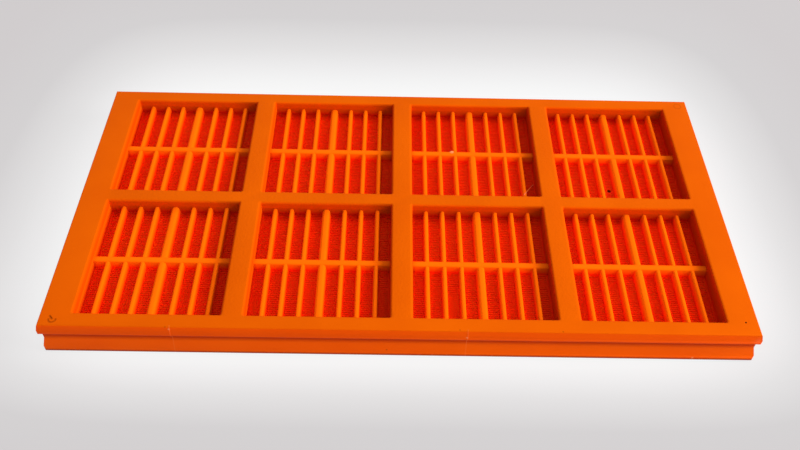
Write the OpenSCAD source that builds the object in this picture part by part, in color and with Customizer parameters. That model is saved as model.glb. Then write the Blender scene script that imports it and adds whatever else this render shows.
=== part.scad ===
// Polyurethane screen panel, cast in one piece.
// It lies with its slotted screening face down and its pocketed support side up.
// X runs along the length, Y across the width, and the origin is at the middle of the screening face.

/* [Panel] */
// Length of the panel over its edges, along X
panel_l = 610; // [450:1:900]
// Width of the panel over its edges, along Y
panel_w = 305; // [220:1:450]
// Thickness of the panel, from the screening face to the support side
panel_t = 37; // [35:1:60]
// Radius of the four upright corners
corner_r = 2.4; // [0.4:0.1:8]

/* [Edge] */
// How far the lip's top edge stands back, so that the lip leads in
lip_lead = 2.2; // [1:0.1:4]
// Radius along the lip's top edge
lip_edge_r = 1.2; // [0.4:0.1:2]
// Depth of the lip's nose below the support side
lip_nose_drop = 9.2; // [7:0.1:11]
// Radius of the lip's nose
lip_nose_r = 2.6; // [1.5:0.1:4]
// Depth of the fixing groove, in from the outer edge
groove_depth = 3.1; // [1.5:0.1:5]
// Height of the groove's floor, along Z
groove_floor_h = 4.6; // [2:0.1:6]
// Height of the groove's middle above the screening face
groove_z = 20.1; // [18:0.1:22]
// Height of the shoulder above the screening face, at the middle of its arc
shoulder_z = 5.4; // [4:0.1:9]
// Radius of the shoulder that the body flares out to below the groove
shoulder_r = 3; // [1:0.1:5]
// Radius along the edge of the screening face
base_edge_r = 3.8; // [1:0.1:5]

/* [Pockets] */
// Pockets along X
pocket_cols = 4; // [2:1:6]
// Pockets along Y
pocket_rows = 2; // [1:1:3]
// Frame from the outer edge to the first pocket, at each end
end_margin = 29; // [20:0.5:45]
// Frame from the outer edge to the first pocket, at each side
side_margin = 16; // [14:0.5:35]
// Width of the bars between the pockets' columns
bar_across_w = 20; // [12:0.5:30]
// Width of the bar between the pockets' rows
bar_along_w = 15; // [10:0.5:30]
// Depth of the pockets, from the support side to the slotted floor
pocket_depth = 16; // [13:0.5:20]
// Radius around each pocket's mouth
mouth_r = 2.6; // [0.5:0.1:4]

/* [Ribs] */
// Narrow ribs on each side of a pocket's middle rib
side_ribs = 3; // [1:1:4]
// Height of the ribs above the pocket's floor
rib_h = 7.5; // [5:0.1:10]
// Width of a narrow rib at its foot
rib_foot_w = 5.2; // [4:0.1:6]
// Width of a narrow rib at its crown
rib_crown_w = 3.8; // [2:0.1:3.9]
// Width of the middle rib at its foot
mid_rib_foot_w = 8.6; // [7:0.1:10]
// Width of the middle rib at its crown
mid_rib_crown_w = 6.8; // [4:0.1:6.9]
// Height of the cross rib above the pocket's floor
cross_rib_h = 8; // [5:0.1:10]
// Width of the cross rib at its foot
cross_rib_foot_w = 8.4; // [7:0.1:12]
// Width of the cross rib at its crown
cross_rib_crown_w = 6.2; // [3:0.1:6.9]
// Radius along the crowns of the narrow ribs and the cross rib
rib_crown_r = 1.6; // [0.3:0.1:2]
// Radius along the crown of the middle rib
mid_rib_crown_r = 2.8; // [0.3:0.1:3.4]

/* [Slots] */
// Slots in each cell, one behind the other along Y
slots_per_cell = 7; // [3:1:7]
// Width of a slot at the screening face
slot_face_w = 0.3; // [0.2:0.1:1]
// Width of a slot at the pocket's floor, where it opens out
slot_floor_w = 0.5; // [0.3:0.1:2]
// Plain deck left between a slot's end and the pocket's wall
slot_end_gap = 2; // [1:0.5:5]

/* [Hidden] */
$fn = 64;

// Depth to which one solid is sunk into the next, so that they join
bite = 1;

// Least flat that is left along a rib's crown
crown_flat = 0.2;

floor_z = panel_t - pocket_depth;
pocket_l = (panel_l - 2 * end_margin - (pocket_cols - 1) * bar_across_w) / pocket_cols;
pocket_w = (panel_w - 2 * side_margin - (pocket_rows - 1) * bar_along_w) / pocket_rows;
pitch_x = pocket_l + bar_across_w;
pitch_y = pocket_w + bar_along_w;
inner_l = panel_l - 2 * end_margin;
inner_w = panel_w - 2 * side_margin;

// The cells between a pocket's ribs all have one width
cell_w = (pocket_l - 2 * side_ribs * rib_foot_w - mid_rib_foot_w) / (2 * side_ribs + 2);

// The cross rib halves the length of the cells
cell_l = (pocket_w - cross_rib_foot_w) / 2;

// Middles of the pockets' columns and rows
cols_x = [for (i = [0 : pocket_cols - 1]) (i - (pocket_cols - 1) / 2) * pitch_x];
rows_y = [for (j = [0 : pocket_rows - 1]) (j - (pocket_rows - 1) / 2) * pitch_y];

// Middle of narrow rib k, counted outwards from the middle rib
function side_rib_x(k) = mid_rib_foot_w / 2 + k * cell_w + (k - 0.5) * rib_foot_w;

// Point where a line from p touches the circle at c with radius r, on the side that side names
function touch(p, c, r, side) =
    let (d = p - c, a = atan2(d[1], d[0]) - side * acos(r / norm(d)))
    c + r * [cos(a), sin(a)];

// Section across the whole panel, with its lip, groove and shoulder on both sides
module panel_section(width) {
    edge = width / 2;
    nose = [edge - lip_nose_r, panel_t - lip_nose_drop];
    shoulder = [edge - shoulder_r, shoulder_z];
    base = [edge - base_edge_r, base_edge_r];
    groove_top = [edge - groove_depth, groove_z + groove_floor_h / 2];
    groove_foot = [edge - groove_depth, groove_z - groove_floor_h / 2];

    // The lip's top edge is an arc between the flat top and the sloping lead-in
    crest = [edge - lip_lead, panel_t];
    lead_end = touch(crest, nose, lip_nose_r, 1);
    lead = (lead_end - crest) / norm(lead_end - crest);
    arc_run = lip_edge_r * tan(acos(lead[0]) / 2);

    for (side = [0, 1])
        mirror([side, 0]) {
            polygon([
                [-bite, 0],
                [base[0], 0],
                [edge, base[1]],
                [edge, shoulder[1]],
                touch(groove_foot, shoulder, shoulder_r, 1),
                groove_foot,
                groove_top,
                touch(groove_top, nose, lip_nose_r, -1),
                lead_end,
                crest + arc_run * lead,
                crest - [arc_run, 0],
                [-bite, panel_t],
            ]);
            translate(nose) circle(lip_nose_r);
            translate(shoulder) circle(shoulder_r);
            translate(base) circle(base_edge_r);
            translate(crest - [arc_run, lip_edge_r]) circle(lip_edge_r);
        }
}

// The panel's outline from above, with its upright corners rounded
module outline() {
    square([panel_l - 2 * corner_r, panel_w], center = true);
    square([panel_l, panel_w - 2 * corner_r], center = true);
    for (sx = [-1, 1], sy = [-1, 1])
        translate([sx * (panel_l / 2 - corner_r), sy * (panel_w / 2 - corner_r)]) circle(corner_r);
}

// The block before its pockets are formed: the edge runs round it and meets itself in mitres
module blank() {
    intersection() {
        rotate([90, 0, 0])
            translate([0, 0, -panel_w / 2 - bite])
                linear_extrude(panel_w + 2 * bite) panel_section(panel_l);
        rotate([90, 0, 90])
            translate([0, 0, -panel_l / 2 - bite])
                linear_extrude(panel_l + 2 * bite) panel_section(panel_w);
        translate([0, 0, -bite]) linear_extrude(panel_t + 2 * bite) outline();
    }
}

// Section across a pocket's hollow, with its mouth rounded over
module pocket_section(width) {
    top = panel_t + bite;
    translate([-width / 2, floor_z]) square([width, top - floor_z]);
    difference() {
        translate([-width / 2 - mouth_r, panel_t - mouth_r]) square([width + 2 * mouth_r, mouth_r + bite]);
        for (side = [-1, 1])
            translate([side * (width / 2 + mouth_r), panel_t - mouth_r]) circle(mouth_r);
    }
}

module pocket() {
    intersection() {
        rotate([90, 0, 0])
            translate([0, 0, -pocket_w / 2 - mouth_r])
                linear_extrude(pocket_w + 2 * mouth_r) pocket_section(pocket_l);
        rotate([90, 0, 90])
            translate([0, 0, -pocket_l / 2 - mouth_r])
                linear_extrude(pocket_l + 2 * mouth_r) pocket_section(pocket_w);
    }
}

// Section of a rib that narrows to a rounded crown, standing on the pocket's floor
module rib_section(foot_w, crown_w, height, crown_r) {
    r = min(crown_r, (crown_w - crown_flat) / 2);
    arc_x = crown_w / 2 - r;
    arc_z = height - r;
    polygon([
        [-foot_w / 2, -bite],
        [foot_w / 2, -bite],
        [foot_w / 2, 0],
        [crown_w / 2, arc_z],
        [arc_x, height],
        [-arc_x, height],
        [-crown_w / 2, arc_z],
        [-foot_w / 2, 0],
    ]);
    for (side = [-1, 1])
        translate([side * arc_x, arc_z]) circle(r);
}

// A rib along Y, through every pocket of a column
module long_rib(foot_w, crown_w, crown_r) {
    length = inner_w + 2 * bite;
    translate([0, length / 2, floor_z])
        rotate([90, 0, 0])
            linear_extrude(length) rib_section(foot_w, crown_w, rib_h, crown_r);
}

// A rib along X, through every pocket of a row
module cross_rib() {
    length = inner_l + 2 * bite;
    translate([-length / 2, 0, floor_z])
        rotate([90, 0, 90])
            linear_extrude(length)
                rib_section(cross_rib_foot_w, cross_rib_crown_w, cross_rib_h, rib_crown_r);
}

// Section of a slot through the deck
module slot_section() {
    polygon([
        [-slot_face_w / 2, 0],
        [slot_face_w / 2, 0],
        [slot_floor_w / 2, floor_z],
        [-slot_floor_w / 2, floor_z],
    ]);
}

// The slots of one pocket, each passing under the ribs from wall to wall
module pocket_slots() {
    length = pocket_l - 2 * slot_end_gap;
    pitch = cell_l / slots_per_cell;
    for (side = [-1, 1], k = [0 : slots_per_cell - 1])
        translate([-length / 2, side * (cross_rib_foot_w / 2 + (k + 0.5) * pitch), 0])
            rotate([90, 0, 90])
                linear_extrude(length) slot_section();
}

// Frame, bars and deck
module frame() {
    difference() {
        blank();
        for (x = cols_x, y = rows_y)
            translate([x, y, 0]) pocket();
    }
}

module ribs() {
    for (x = cols_x) {
        translate([x, 0, 0]) long_rib(mid_rib_foot_w, mid_rib_crown_w, mid_rib_crown_r);
        for (k = [1 : side_ribs], side = [-1, 1])
            translate([x + side * side_rib_x(k), 0, 0]) long_rib(rib_foot_w, rib_crown_w, rib_crown_r);
    }
    for (y = rows_y)
        translate([0, y, 0]) cross_rib();
}

// The whole casting
module screen_panel() {
    color("darkorange")
        difference() {
            union() {
                frame();
                ribs();
            }
            for (x = cols_x, y = rows_y)
                translate([x, y, 0]) pocket_slots();
        }
}

screen_panel();
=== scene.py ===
import math

import bmesh
import bpy
from mathutils import Matrix, Vector


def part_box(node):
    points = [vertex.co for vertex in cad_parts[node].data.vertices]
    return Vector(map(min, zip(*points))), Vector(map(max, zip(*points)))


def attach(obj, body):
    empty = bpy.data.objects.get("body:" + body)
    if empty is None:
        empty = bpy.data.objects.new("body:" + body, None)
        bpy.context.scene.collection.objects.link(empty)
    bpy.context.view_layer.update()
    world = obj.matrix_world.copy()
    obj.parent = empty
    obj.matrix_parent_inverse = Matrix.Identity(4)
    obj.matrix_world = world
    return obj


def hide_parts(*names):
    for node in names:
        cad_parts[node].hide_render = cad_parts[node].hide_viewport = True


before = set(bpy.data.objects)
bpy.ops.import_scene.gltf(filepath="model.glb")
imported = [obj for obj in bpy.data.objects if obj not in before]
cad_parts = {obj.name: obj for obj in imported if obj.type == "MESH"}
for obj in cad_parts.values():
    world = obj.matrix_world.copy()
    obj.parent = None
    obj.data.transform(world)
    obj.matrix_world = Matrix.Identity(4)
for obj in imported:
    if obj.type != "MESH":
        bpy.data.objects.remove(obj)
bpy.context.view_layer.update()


# The panel's block: polyurethane, poured in one piece in an open mould and trimmed.
# A lip that leads in at the top and a groove for a deck rail run round its edge, and below the
# groove the body flares out again to a rounded foot. The edge meets itself in mitres.
panel_low, panel_high = (Vector(corner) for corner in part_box("screen_panel"))
panel_l, panel_w, panel_t = panel_high - panel_low
corner_r = 0.0024
lip_lead = 0.0022
lip_edge_r = 0.0012
lip_nose_drop = 0.0092
lip_nose_r = 0.0026
groove_depth = 0.0031
groove_floor_h = 0.0046
groove_z = 0.0201
shoulder_z = 0.0054
shoulder_r = 0.003
base_edge_r = 0.0038
overshoot = 0.001
arc_steps = 8
quarter_turn = math.pi / 2
corner_signs = ((1, 1), (-1, 1), (-1, -1), (1, -1))


def arc(centre, radius, start, end, steps=arc_steps):
    """Points along a circle from one angle to another, in radians."""
    angles = [start + (end - start) * k / steps for k in range(steps + 1)]
    return [(centre[0] + radius * math.cos(a), centre[1] + radius * math.sin(a)) for a in angles]


def touch_angle(point, centre, radius, side):
    """Angle at which a line from a point touches a circle."""
    run, rise = point[0] - centre[0], point[1] - centre[1]
    return math.atan2(rise, run) - side * math.acos(radius / math.hypot(run, rise))


def edge_profile():
    """The edge in section from the screening face up, as distance out and height."""
    foot = (-base_edge_r, base_edge_r)
    shoulder = (-shoulder_r, shoulder_z)
    nose = (-lip_nose_r, panel_t - lip_nose_drop)
    groove_foot = (-groove_depth, groove_z - groove_floor_h / 2)
    groove_top = (-groove_depth, groove_z + groove_floor_h / 2)
    crest = (-lip_lead, panel_t)
    lead_angle = touch_angle(crest, nose, lip_nose_r, 1)
    crest_run = lip_edge_r * math.tan((quarter_turn - lead_angle) / 2)
    crest_centre = (crest[0] - crest_run, crest[1] - lip_edge_r)
    return (
        arc(foot, base_edge_r, -quarter_turn, 0)
        + arc(shoulder, shoulder_r, 0, touch_angle(groove_foot, shoulder, shoulder_r, 1))
        + [groove_foot, groove_top]
        + arc(nose, lip_nose_r, touch_angle(groove_top, nose, lip_nose_r, -1), lead_angle)
        + arc(crest_centre, lip_edge_r, lead_angle, quarter_turn)
    )


def rounded_loop(length, width, radius, z):
    """A rectangle at one height, with rounded corners."""
    points = []
    for k, (sx, sy) in enumerate(corner_signs):
        centre = (sx * (length / 2 - radius), sy * (width / 2 - radius))
        for x, y in arc(centre, radius, k * quarter_turn, (k + 1) * quarter_turn):
            points.append((x, y, z))
    return points


def sharp_loop(length, width, z):
    """A rectangle at one height, with sharp corners."""
    return [(sx * length / 2, sy * width / 2, z) for sx, sy in corner_signs]


def add_stack(shell, loops, centre=(0, 0)):
    """Skins a stack of loops of equal length, and closes both of its ends."""
    rings = [
        [shell.verts.new((x + centre[0], y + centre[1], z)) for x, y, z in loop]
        for loop in loops
    ]
    count = len(rings[0])
    for lower, upper in zip(rings, rings[1:]):
        for k in range(count):
            after = (k + 1) % count
            shell.faces.new((lower[k], lower[after], upper[after], upper[k]))
    shell.faces.new(reversed(rings[0]))
    shell.faces.new(rings[-1])


def finished(shell, name):
    """The shell as a new object."""
    bmesh.ops.recalc_face_normals(shell, faces=shell.faces)
    mesh = bpy.data.meshes.new(name)
    shell.to_mesh(mesh)
    shell.free()
    made = bpy.data.objects.new(name, mesh)
    bpy.context.scene.collection.objects.link(made)
    return made


block = bmesh.new()
add_stack(block, [sharp_loop(panel_l + 2 * out, panel_w + 2 * out, z) for out, z in edge_profile()])
panel = finished(block, "panel")


def shape_with(tool, operation):
    """Cuts a tool from the panel, joins it on or keeps what it covers, and takes the tool away."""
    change = panel.modifiers.new(tool.name, "BOOLEAN")
    change.operation = operation
    change.solver = "MANIFOLD"
    change.object = tool
    view = bpy.context.evaluated_depsgraph_get()
    shaped = bpy.data.meshes.new_from_object(panel.evaluated_get(view))
    panel.modifiers.clear()
    panel.data = shaped
    bpy.data.objects.remove(tool)


outline = bmesh.new()
add_stack(outline, [
    rounded_loop(panel_l, panel_w, corner_r, z) for z in (-overshoot, panel_t + overshoot)
])
shape_with(finished(outline, "outline"), "INTERSECT")


# The pockets: eight hollows in the support side, left by the mould's raised blocks.
# Their walls are upright and their mouths are rounded over.
pocket_cols = 4
pocket_rows = 2
end_margin = 0.029
side_margin = 0.016
bar_across_w = 0.020
bar_along_w = 0.015
pocket_depth = 0.016
mouth_r = 0.0026
pocket_corner_r = 0.0008
floor_z = panel_t - pocket_depth
pocket_l = (panel_l - 2 * end_margin - (pocket_cols - 1) * bar_across_w) / pocket_cols
pocket_w = (panel_w - 2 * side_margin - (pocket_rows - 1) * bar_along_w) / pocket_rows
pitch_x = pocket_l + bar_across_w
pitch_y = pocket_w + bar_along_w
cols_x = [(k - (pocket_cols - 1) / 2) * pitch_x for k in range(pocket_cols)]
rows_y = [(k - (pocket_rows - 1) / 2) * pitch_y for k in range(pocket_rows)]


def pocket_loop(out, z):
    """A pocket's outline at one height, as far out as its mouth is rounded there."""
    return rounded_loop(pocket_l + 2 * out, pocket_w + 2 * out, pocket_corner_r + out, z)


pockets = bmesh.new()
mouth = arc((mouth_r, panel_t - mouth_r), mouth_r, math.pi, quarter_turn)
hollow = [(0, floor_z)] + mouth + [(mouth_r, panel_t + overshoot)]
for x in cols_x:
    for y in rows_y:
        add_stack(pockets, [pocket_loop(out, z) for out, z in hollow], (x, y))
shape_with(finished(pockets, "pockets"), "DIFFERENCE")


# The slots: fine openings through the deck under each pocket, cast with thin blades in the mould.
# They open out from the screening face to the pocket's floor, so that a grain that enters falls through.
slots_per_cell = 27
slot_face_w = 0.0003
slot_floor_w = 0.0005
slot_end_gap = 0.002
cross_rib_foot_w = 0.0084
cell_l = (pocket_w - cross_rib_foot_w) / 2
slot_pitch = cell_l / (slots_per_cell + 1)
slot_l = pocket_l - 2 * slot_end_gap


def slot_w(z):
    """A slot's width at one height in the deck."""
    return slot_face_w + (slot_floor_w - slot_face_w) * z / floor_z


slots = bmesh.new()
for x in cols_x:
    for y in rows_y:
        for side in (-1, 1):
            for k in range(slots_per_cell):
                middle = side * (cross_rib_foot_w / 2 + (k + 1) * slot_pitch)
                add_stack(slots, [
                    sharp_loop(slot_l, slot_w(z), z) for z in (-overshoot, floor_z + overshoot)
                ], (x, y + middle))
shape_with(finished(slots, "slots"), "DIFFERENCE")


# The ribs: seven along each pocket and one across it, cast with the deck that they stiffen.
# The middle rib is the widest, and all of them narrow to a rounded crown.
side_ribs = 3
rib_h = 0.0075
rib_foot_w = 0.0052
rib_crown_w = 0.0038
mid_rib_foot_w = 0.0086
mid_rib_crown_w = 0.0068
cross_rib_h = 0.008
cross_rib_crown_w = 0.0062
rib_crown_r = 0.0016
mid_rib_crown_r = 0.0028
rib_sink = 0.0003
cell_w = (pocket_l - 2 * side_ribs * rib_foot_w - mid_rib_foot_w) / (2 * side_ribs + 2)
inner_l = panel_l - 2 * end_margin
inner_w = panel_w - 2 * side_margin


def rib_profile(foot_w, crown_w, height, crown_r):
    """A rib in section, as distance from its middle and height."""
    half = crown_w / 2 - crown_r
    top = floor_z + height - crown_r
    sunk = floor_z - rib_sink
    right_foot = [(foot_w / 2, sunk), (foot_w / 2, floor_z)]
    right = arc((half, top), crown_r, 0, quarter_turn)
    left = arc((-half, top), crown_r, quarter_turn, math.pi)
    left_foot = [(-foot_w / 2, floor_z), (-foot_w / 2, sunk)]
    return right_foot + right + left + left_foot


def add_long_rib(shell, x, foot_w, crown_w, crown_r):
    """A rib along Y, through both pockets of a column."""
    end = inner_w / 2 + overshoot
    profile = rib_profile(foot_w, crown_w, rib_h, crown_r)
    add_stack(shell, [[(out, y, z) for out, z in profile] for y in (end, -end)], (x, 0))


long_ribs = bmesh.new()
for x in cols_x:
    add_long_rib(long_ribs, x, mid_rib_foot_w, mid_rib_crown_w, mid_rib_crown_r)
    for k in range(1, side_ribs + 1):
        offset = mid_rib_foot_w / 2 + k * cell_w + (k - 0.5) * rib_foot_w
        for side in (-1, 1):
            add_long_rib(long_ribs, x + side * offset, rib_foot_w, rib_crown_w, rib_crown_r)
shape_with(finished(long_ribs, "long_ribs"), "UNION")

cross_ribs = bmesh.new()
cross_end = inner_l / 2 + overshoot
cross_profile = rib_profile(cross_rib_foot_w, cross_rib_crown_w, cross_rib_h, rib_crown_r)
for y in rows_y:
    add_stack(cross_ribs, [
        [(x, out, z) for out, z in cross_profile] for x in (-cross_end, cross_end)
    ], (0, y))
shape_with(finished(cross_ribs, "cross_ribs"), "UNION")


# The finish: bright orange polyurethane, satin from the mould and a little see-through.
# Light that sinks into it comes out again as a deep red, most of all on the pockets' floors, and that
# red is painted into the colour there as painted light. Tops, faces, walls and ribs are lit and shaded
# copies of one colour, and painted shade darkens the pockets' walls, the groove and the foot. The
# screening face is plain.
cloud_scale = 18
cloud_detail = 4
cloud_span = (0.3, 0.7)
top_fade = 0.0012
rib_fade = 0.0012
floor_fade = 0.0055
floor_edge = 0.0003
deck_skin = 0.0001
wall_skin = 0.0004
level_span = (0.3, 0.8)
under_span = (-0.85, -0.97)
face_span = (0.002, 0.012)
# Reach, rise and tint of the painted shade at the pockets' walls
back_shade_reach = 0.009
right_shade_reach = 0.024
left_shade_reach = 0.003
mouth_shade_reach = 0.0008
shade_rise = 0.5
wall_shade_tint = (0.62, 0.58, 0.58)
grain_scale = 500
grain_detail = 4
grain_depth = 0.0006
grain_strength = 0.10
mouth_grain_strength = 0.4
mouth_skin = 0.0004
floor_scatter = 0.6
polyurethane = bpy.data.materials.new("polyurethane")
polyurethane.use_nodes = True
tree = polyurethane.node_tree


def linked(kind, inputs, **settings):
    """A new node in the tree at hand, with inputs given as values or as outputs of other nodes."""
    node = tree.nodes.new(kind)
    for name, value in settings.items():
        setattr(node, name, value)
    for socket, value in inputs.items():
        if isinstance(value, bpy.types.NodeSocket):
            tree.links.new(value, node.inputs[socket])
        else:
            node.inputs[socket].default_value = value
    return node


def graded(factor, stops):
    """A colour ramp through stops of place and colour."""
    ramp = linked("ShaderNodeValToRGB", {"Fac": factor})
    elements = ramp.color_ramp.elements
    while len(elements) < len(stops):
        elements.new(0.5)
    for element, (at, tone) in zip(elements, stops):
        element.position = at
        element.color = (*tone, 1)
    return ramp.outputs["Color"]


def sloped(value, start, end):
    """A factor that goes from 0 to 1 as a value goes from its start to its end."""
    return linked("ShaderNodeMapRange", {"Value": value, "From Min": start, "From Max": end}).outputs[0]


def reckoned(operation, first, second=0):
    """The result of one step of arithmetic."""
    return linked("ShaderNodeMath", {0: first, 1: second}, operation=operation).outputs[0]


def blended(factor, below, above):
    """One colour over another by a factor."""
    return linked("ShaderNodeMix", {"Factor": factor, 6: below, 7: above}, data_type="RGBA").outputs[2]


def tinted(below, tint):
    """One colour multiplied by another."""
    return linked("ShaderNodeMix", {
        "Factor": 1.0, 6: below, 7: tint,
    }, data_type="RGBA", blend_type="MULTIPLY").outputs[2]


def within(axis, middles, pitch):
    """A place along one axis, counted from the middle of its own pocket."""
    return linked("ShaderNodeMath", {
        0: reckoned("SUBTRACT", axis, middles[-1]), 1: pitch / 2, 2: -pitch / 2,
    }, operation="WRAP").outputs[0]


place = linked("ShaderNodeTexCoord", {}).outputs["Object"]
along, across, up = linked("ShaderNodeSeparateXYZ", {0: place}).outputs
facing = linked("ShaderNodeNewGeometry", {}).outputs["Normal"]
facing_up = linked("ShaderNodeSeparateXYZ", {0: facing}).outputs["Z"]
cloud = linked("ShaderNodeTexNoise", {
    "Vector": place, "Scale": cloud_scale, "Detail": cloud_detail,
}).outputs["Fac"]


def clouded(*tones):
    """A colour that drifts between two tones in soft clouds."""
    return graded(cloud, list(zip(cloud_span, tones)))


# Lit and shaded copies of one colour, as painted light and shade: the tops are painted darker and the
# outer faces and ribs lighter, the walls inside the pockets darker, and the right walls, which face away
# from the lamp, a redder orange.
top_colour = clouded((0.645, 0.088, 0.0004), (0.695, 0.102, 0.0004))
side_colour = clouded((0.95, 0.100, 0.0005), (0.98, 0.112, 0.0005))
wall_colour = clouded((0.73, 0.074, 0.0005), (0.77, 0.086, 0.0005))
right_colour = clouded((0.88, 0.051, 0.0005), (0.92, 0.059, 0.0005))
rib_colour = clouded((0.94, 0.126, 0.0010), (0.98, 0.140, 0.0010))
floor_colour = clouded((0.97, 0.018, 0.0008), (0.995, 0.027, 0.0008))
foot_colour = clouded((0.90, 0.017, 0.0008), (0.94, 0.025, 0.0008))

# Where a place lies in its pocket
pocket_x = within(along, cols_x, pitch_x)
pocket_y = within(across, rows_y, pitch_y)
inside = reckoned(
    "MULTIPLY",
    reckoned("LESS_THAN", reckoned("ABSOLUTE", along), inner_l / 2 + overshoot),
    reckoned("LESS_THAN", reckoned("ABSOLUTE", across), inner_w / 2 + overshoot),
)
in_pocket = reckoned("MULTIPLY", inside, sloped(up, *face_span))
on_right = reckoned("GREATER_THAN", pocket_x, pocket_l / 2 - wall_skin)
on_back = reckoned("GREATER_THAN", pocket_y, pocket_w / 2 - wall_skin)
off_wall = reckoned("SUBTRACT", 1, reckoned("MAXIMUM", on_right, on_back))
rib_top = floor_z + cross_rib_h
at_rib_height = reckoned("MULTIPLY", sloped(up, rib_top + rib_fade, rib_top + rib_fade / 2), inside)
on_rib = reckoned("MULTIPLY", at_rib_height, off_wall)
above_floor = reckoned("MAXIMUM", reckoned("SUBTRACT", up, floor_z), 0)
on_floor = reckoned("MULTIPLY", sloped(above_floor, floor_fade, floor_edge), in_pocket)
level_floor = reckoned(
    "MAXIMUM", sloped(facing_up, *level_span), reckoned("LESS_THAN", up, floor_z + deck_skin)
)

# The casting's colour, from its edge inwards, with painted shade along the foot, in the groove under the
# lip and a little on the lip
edge_shade = graded(sloped(up, 0, panel_t), [
    (0.00, (0.30, 0.26, 0.25)),
    (0.085, (0.34, 0.30, 0.29)),
    (0.16, (1, 1, 1)),
    (0.44, (1, 1, 1)),
    (0.56, (0.62, 0.40, 0.4)),
    (0.71, (0.62, 0.40, 0.4)),
    (0.74, (0.91, 0.79, 0.8)),
])
upright = blended(inside, tinted(side_colour, edge_shade), blended(on_right, wall_colour, right_colour))
upper = blended(sloped(up, panel_t - top_fade, panel_t), upright, top_colour)
# Painted light: the deep red of light that comes through the casting and off the lit ribs is painted on
# the pockets' floors, and a little darker on the feet of their ribs and walls.
deep_colour = blended(level_floor, foot_colour, floor_colour)
pocketed = blended(on_floor, blended(on_rib, upper, rib_colour), deep_colour)
before_wall_shade = blended(sloped(facing_up, *under_span), pocketed, side_colour)

# Painted shade at the pockets' walls: in the corners low down at the back and on the left, and on the
# right, where the right wall casts its shadow, from the mouth down
by_back = sloped(pocket_y, pocket_w / 2 - back_shade_reach, pocket_w / 2)
by_right = sloped(pocket_x, pocket_l / 2 - right_shade_reach, pocket_l / 2)
by_left = sloped(pocket_x, left_shade_reach - pocket_l / 2, -pocket_l / 2)
low_down = reckoned("POWER", sloped(up, rib_top + overshoot, floor_z + overshoot), shade_rise)
by_wall = reckoned(
    "MAXIMUM",
    reckoned("MULTIPLY", reckoned("MAXIMUM", by_back, by_left), low_down),
    reckoned("MULTIPLY", by_right, sloped(up, panel_t, panel_t - mouth_shade_reach)),
)
wall_shade = reckoned("MULTIPLY", by_wall, in_pocket)
colour = tinted(before_wall_shade, graded(wall_shade, [(0, (1, 1, 1)), (1, wall_shade_tint)]))

# Fine grain, coarser round the pockets' mouths
grain = linked("ShaderNodeTexNoise", {
    "Vector": place, "Scale": grain_scale, "Detail": grain_detail,
}).outputs["Fac"]
by_mouth = reckoned("MULTIPLY", sloped(up, panel_t - mouth_r, panel_t - mouth_skin), inside)
roughened = reckoned("ADD", grain_strength, reckoned("MULTIPLY", by_mouth, mouth_grain_strength))
relief = linked("ShaderNodeBump", {
    "Strength": roughened, "Distance": grain_depth, "Height": grain,
}).outputs["Normal"]
scattered = reckoned("MULTIPLY", reckoned("MULTIPLY", on_floor, level_floor), floor_scatter)
shader = tree.nodes["Principled BSDF"]
shader.inputs["Roughness"].default_value = 0.5
shader.inputs["Specular IOR Level"].default_value = 0.04
shader.inputs["Specular Tint"].default_value = (1, 0.25, 0.01, 1)
shader.inputs["Subsurface Radius"].default_value = (1, 0.2, 0.05)
shader.inputs["Subsurface Scale"].default_value = 0.008
tree.links.new(relief, shader.inputs["Normal"])
tree.links.new(scattered, shader.inputs["Subsurface Weight"])


# The marks of casting and use: pinholes left by bubbles, a curved scuff on one corner, thin flash
# across the front edge where the mould's pieces met, a thread of flash and a crumb stuck to the ribs.
# Specks, a worn corner and a faint ring are only in the colour.
dirt_colour = (0.20, 0.035, 0.001)
round_steps = 16
bead_sides = 8
spot_steps = 4
sharp_angle = math.radians(30)

# Place, radius and depth of each pinhole
pinholes = [
    ((0.2921, -0.1372, panel_t), 0.0008, 0.0006),
    ((0.2057, 0.0304, floor_z), 0.0019, 0.0012),
]
pinhole_foot = 0.3
pinhole_waist = 0.8
pinhole_reach = 1.2
pinhole_core = 0.8
pinhole_shade_colour = (0.035, 0.004, 0.001)

scuff_middle = (-0.2913, -0.1442)
scuff_r = 0.0030
scuff_w = 0.0012
scuff_depth = 0.0004
scuff_start = math.radians(15)
scuff_end = math.radians(-170)
scuff_stroke = [(-0.2939, -0.1408), (-0.2915, -0.1437)]
scuff_z = panel_t + scuff_w / 2 - scuff_depth
scuff_back = (scuff_middle[1] + 0.0012, scuff_middle[1] + 0.0006)
scuff_mark = dict(strength=0.5, gone=0.0012, full=0.0005, tone=dirt_colour)
stroke_mark = dict(strength=0.5, gone=0.0013, full=0.0006, tone=dirt_colour)

flash_x = (-0.1932, 0.0556)
flash_w = 0.0005
flash_foot_z = 0.010
flash_run = 0.004
flash_mark = dict(strength=0.25, gone=0.0006, full=0.0002, tone=(1.0, 0.24, 0.05))

thread = [
    (0.1190, 0.0162, 0.0286),
    (0.1220, 0.0205, 0.0283),
    (0.1265, 0.0289, 0.0252),
    (0.1309, 0.0372, 0.0213),
]
thread_w = 0.0007
thread_mark = dict(strength=0.55, gone=0.0008, full=0.0005, tone=(0.9, 0.22, 0.10))

crumb_place = Vector((0.0507, 0.0745, floor_z + cross_rib_h))
crumb_size = (0.0022, 0.0011, 0.0007)
crumb_mark = dict(strength=0.8, gone=0.0024, full=0.0018, tone=(1.0, 0.30, 0.12))

dark_specks = [
    (0.1352, -0.1493, panel_t),
    (0.0488, -0.1491, panel_t),
    (-0.1965, -0.1500, 0.0365),
    (-0.0121, -0.1515, 0.0095),
]
dark_mark = dict(strength=0.45, gone=0.0010, full=0.0004, tone=dirt_colour)

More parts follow.
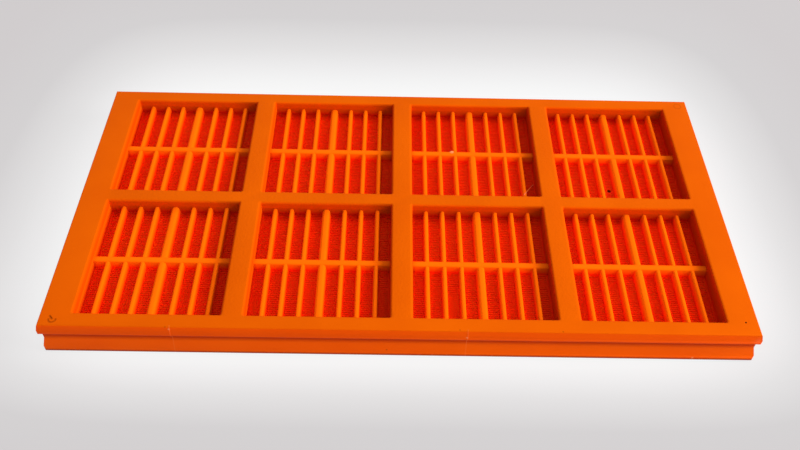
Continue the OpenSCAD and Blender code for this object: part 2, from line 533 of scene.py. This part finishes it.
# Place and radius of each pale speck
pale_specks = [
    ((0.2517, -0.1525, 0.0052), 0.0014),
    ((-0.1936, -0.1510, 0.0345), 0.0012),
    ((0.0552, -0.1520, 0.0300), 0.0012),
]
pale_mark = dict(strength=0.55, tone=(1.0, 0.36, 0.14))

worn_corner = (0.3010, -0.1495, 0.0300)
worn_mark = dict(strength=0.5, gone=0.0050, full=0.0020, tone=(1.0, 0.15, 0.04))

ring_middle = (0.2933, 0.1421, panel_t)
ring_r = 0.0036
ring_mark = dict(strength=0.22, gone=0.0011, full=0.0004, tone=dirt_colour)


def bead_loops(path, width, normal):
    """Loops round a path that has one direction square to it all along."""
    points = [Vector(point) for point in path]
    turns = [2 * math.pi * k / bead_sides for k in range(bead_sides)]
    loops = []
    for before, here, after in zip(points[:1] + points, points, points[1:] + points[-1:]):
        ahead = (after - before).normalized()
        out = ahead.cross(normal).normalized()
        over = out.cross(ahead)
        loops.append([here + width / 2 * (math.cos(a) * out + math.sin(a) * over) for a in turns])
    return loops


def pinhole_loop(middle, radius, z):
    """A pinhole's round outline at one height."""
    return [(x, y, z) for x, y in arc(middle, radius, 0, 2 * math.pi, round_steps)[1:]]


cuts = bmesh.new()
for (x, y, z), radius, depth in pinholes:
    add_stack(cuts, [
        pinhole_loop((x, y), radius * pinhole_foot, z - depth),
        pinhole_loop((x, y), radius * pinhole_waist, z - depth / 2),
        pinhole_loop((x, y), radius, z),
        pinhole_loop((x, y), radius, z + overshoot),
    ])
scuff_arc = arc(scuff_middle, scuff_r, scuff_start, scuff_end, round_steps)
for stroke in (scuff_arc, scuff_stroke):
    add_stack(cuts, bead_loops([(x, y, scuff_z) for x, y in stroke], scuff_w, Vector((0, 0, 1))))
shape_with(finished(cuts, "cuts"), "DIFFERENCE")

flash = bmesh.new()
for x in flash_x:
    front = [(x, -panel_w / 2 - out, z) for out, z in edge_profile() if z > flash_foot_z]
    add_stack(flash, bead_loops(front, flash_w, Vector((1, 0, 0))))
add_stack(flash, bead_loops(thread, thread_w, Vector((0, 0, 1))))
crumb = Matrix.Translation(crumb_place) @ Matrix.Diagonal((*crumb_size, 1))
bmesh.ops.create_icosphere(flash, subdivisions=2, radius=1, matrix=crumb)
bmesh.ops.recalc_face_normals(flash, faces=flash.faces)
flash.from_mesh(panel.data)
flash.to_mesh(panel.data)
flash.free()


def away_from(spot):
    """Distance from one spot."""
    return linked("ShaderNodeVectorMath", {0: place, 1: spot}, operation="DISTANCE").outputs["Value"]


def aside(value, middle):
    """How far a value lies from a middle, on either side of it."""
    return reckoned("ABSOLUTE", reckoned("SUBTRACT", value, middle))


def marked(below, distance, strength, gone, full, tone, limit=1):
    """A mark laid over what is below it, by the distances where it is gone and where it is full."""
    factor = reckoned("MULTIPLY", sloped(distance, gone, full), limit)
    return blended(reckoned("MULTIPLY", factor, strength), below, (*tone, 1))


def spots_along(path):
    """Spots at even steps along each stretch of a path, and one at its end."""
    points = [Vector(point) for point in path]
    stretches = zip(points, points[1:])
    return [a.lerp(b, k / spot_steps) for a, b in stretches for k in range(spot_steps)] + points[-1:]


# Painted shade: the pinholes are painted nearly black inside, a little past their rims.
for spot, radius, _ in pinholes:
    pinhole_size = dict(gone=radius * pinhole_reach, full=radius * pinhole_core)
    colour = marked(colour, away_from(spot), strength=1, tone=pinhole_shade_colour, **pinhole_size)
for spot in dark_specks:
    colour = marked(colour, away_from(spot), **dark_mark)
for spot, radius in pale_specks:
    colour = marked(colour, away_from(spot), gone=radius, full=radius / 2, **pale_mark)
colour = marked(colour, away_from(crumb_place), **crumb_mark)
colour = marked(colour, away_from(worn_corner), **worn_mark)
colour = marked(colour, aside(away_from(ring_middle), ring_r), **ring_mark)
off_scuff = aside(away_from((*scuff_middle, panel_t)), scuff_r)
colour = marked(colour, off_scuff, limit=sloped(across, *scuff_back), **scuff_mark)
for spot in spots_along([(x, y, panel_t) for x, y in scuff_stroke]):
    colour = marked(colour, away_from(spot), **stroke_mark)
on_front = reckoned("LESS_THAN", across, flash_run - panel_w / 2)
for x in flash_x:
    colour = marked(colour, aside(along, x), limit=on_front, **flash_mark)
for spot in spots_along(thread):
    colour = marked(colour, away_from(spot), **thread_mark)
tree.links.new(colour, shader.inputs["Base Color"])

panel.data.shade_smooth()
panel.data.set_sharp_from_angle(angle=sharp_angle)
panel.data.materials.clear()
panel.data.materials.append(polyurethane)
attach(panel, "root")
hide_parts("screen_panel")


# The floor: a plain pale sweep under the panel, with a painted pool of light, white close by and greyer
# far out.
# The camera sees its own pale colour with a soft part of the shadow, and the panel sees plain paper.
# The glow round the panel has its own middle and reach behind the panel and in front of it.
floor_reach = 6.0
glow_side = 0.371
glow_back = (-0.246, 0.526)
glow_front = (0.0603, -0.2525)
glow_power = 6
glow_start = 0.80
glow_end = 1.40
shadow_share = 0.08
far_colour = (0.631, 0.604, 0.610)
sheet = bmesh.new()
bmesh.ops.create_grid(sheet, x_segments=1, y_segments=1, size=floor_reach)
floor = finished(sheet, "floor")
paper = bpy.data.materials.new("paper")
paper.use_nodes = True
tree = paper.node_tree
paper_shader = tree.nodes["Principled BSDF"]
paper_shader.inputs["Roughness"].default_value = 0.9
paper_shader.inputs["Specular IOR Level"].default_value = 0
paper_shader.inputs["Base Color"].default_value = (0.72, 0.72, 0.72, 1)
floor_place = linked("ShaderNodeTexCoord", {}).outputs["Object"]
floor_x, floor_y = linked("ShaderNodeSeparateXYZ", {0: floor_place}).outputs[:2]
beside = reckoned("DIVIDE", reckoned("ABSOLUTE", floor_x), glow_side)
behind, before = (
    reckoned("DIVIDE", reckoned("SUBTRACT", floor_y, middle), reach)
    for middle, reach in (glow_back, glow_front)
)
total = reckoned(
    "ADD",
    reckoned("POWER", beside, glow_power),
    reckoned("POWER", reckoned("MAXIMUM", behind, before), glow_power),
)
away = reckoned("POWER", total, 1 / glow_power)
glow = graded(sloped(away, glow_start, glow_end), [
    (0.00, (0.955, 0.955, 0.955)),
    (0.13, (0.896, 0.896, 0.896)),
    (0.22, (0.840, 0.832, 0.835)),
    (0.33, (0.760, 0.748, 0.750)),
    (0.53, (0.651, 0.633, 0.638)),
    (0.85, far_colour),
])
shown = linked("ShaderNodeEmission", {"Color": glow, "Strength": 1.0}).outputs[0]
shaded = linked("ShaderNodeBsdfDiffuse", {"Color": glow}).outputs[0]
mixed = linked("ShaderNodeMixShader", {0: shadow_share, 1: shown, 2: shaded}).outputs[0]


def seen_rays():
    """One for the rays that show the backdrop: the camera's own, and those of gloss and of glass."""
    rays = linked("ShaderNodeLightPath", {}).outputs
    bounced = reckoned("MAXIMUM", rays["Is Glossy Ray"], rays["Is Transmission Ray"])
    return reckoned("MAXIMUM", rays["Is Camera Ray"], bounced)


result = linked("ShaderNodeMixShader", {0: seen_rays(), 1: paper_shader.outputs[0], 2: mixed}).outputs[0]
tree.links.new(result, tree.nodes["Material Output"].inputs["Surface"])
floor.data.materials.append(paper)


# The light: a large round lamp from the right and a little from the front, which gives soft shadows,
# and a pale surround that is brightest overhead and a little brighter on the right.
# Past the floor's end the surround shows the same pale grey as the floor far out.
key_distance = 3.6
key_elevation = math.radians(32.5)
key_turn = math.radians(-8)
key_size = 1.7
key_power = 138
left_level = 0.06
right_level = 0.26
overhead_level = 1.14
key_lamp = bpy.data.lights.new("key", "AREA")
key_lamp.shape = "DISK"
key_lamp.size = key_size
key_lamp.energy = key_power
key = bpy.data.objects.new("key", key_lamp)
bpy.context.scene.collection.objects.link(key)
key.location = key_distance * Vector((
    math.cos(key_elevation) * math.cos(key_turn),
    math.cos(key_elevation) * math.sin(key_turn),
    math.sin(key_elevation),
))
key.rotation_euler = (-key.location).to_track_quat("-Z", "Y").to_euler()

surround = bpy.data.worlds.new("surround")
surround.use_nodes = True
tree = surround.node_tree
direction = linked("ShaderNodeTexCoord", {}).outputs["Generated"]
heading = linked("ShaderNodeSeparateXYZ", {0: direction}).outputs
sideways = linked("ShaderNodeMapRange", {
    "Value": heading["X"], "From Min": -1, "From Max": 1, "To Min": left_level, "To Max": right_level,
}).outputs[0]
overhead = reckoned("MULTIPLY", reckoned("MULTIPLY", heading["Z"], heading["Z"]), overhead_level)
sky = tree.nodes["Background"]
sky.inputs["Color"].default_value = (1, 1, 1, 1)
tree.links.new(reckoned("ADD", sideways, overhead), sky.inputs["Strength"])
far_wall = linked("ShaderNodeBackground", {"Color": (*far_colour, 1), "Strength": 1.0}).outputs[0]
around = linked("ShaderNodeMixShader", {0: seen_rays(), 1: sky.outputs[0], 2: far_wall}).outputs[0]
tree.links.new(around, tree.nodes["World Output"].inputs["Surface"])
bpy.context.scene.world = surround


# The camera: a plain lens with no shift, in front of the panel and above it.
# It looks down at the panel, turned a little to one side and tipped a little.
camera_place = Vector((-0.01283, -0.55456, 0.62531))
camera_down = math.radians(48.441)
camera_turn = math.radians(1.229)
camera_tip = math.radians(1.862)
lens = bpy.data.cameras.new("camera")
lens.sensor_width = 36
lens.lens = 38.283
lens.clip_start = 0.01
camera = bpy.data.objects.new("camera", lens)
bpy.context.scene.collection.objects.link(camera)
camera.matrix_world = (
    Matrix.Translation(camera_place)
    @ Matrix.Rotation(-camera_turn, 4, "Z")
    @ Matrix.Rotation(quarter_turn - camera_down, 4, "X")
    @ Matrix.Rotation(camera_tip, 4, "Z")
)
bpy.context.scene.camera = camera
bpy.context.scene.view_settings.view_transform = "Standard"
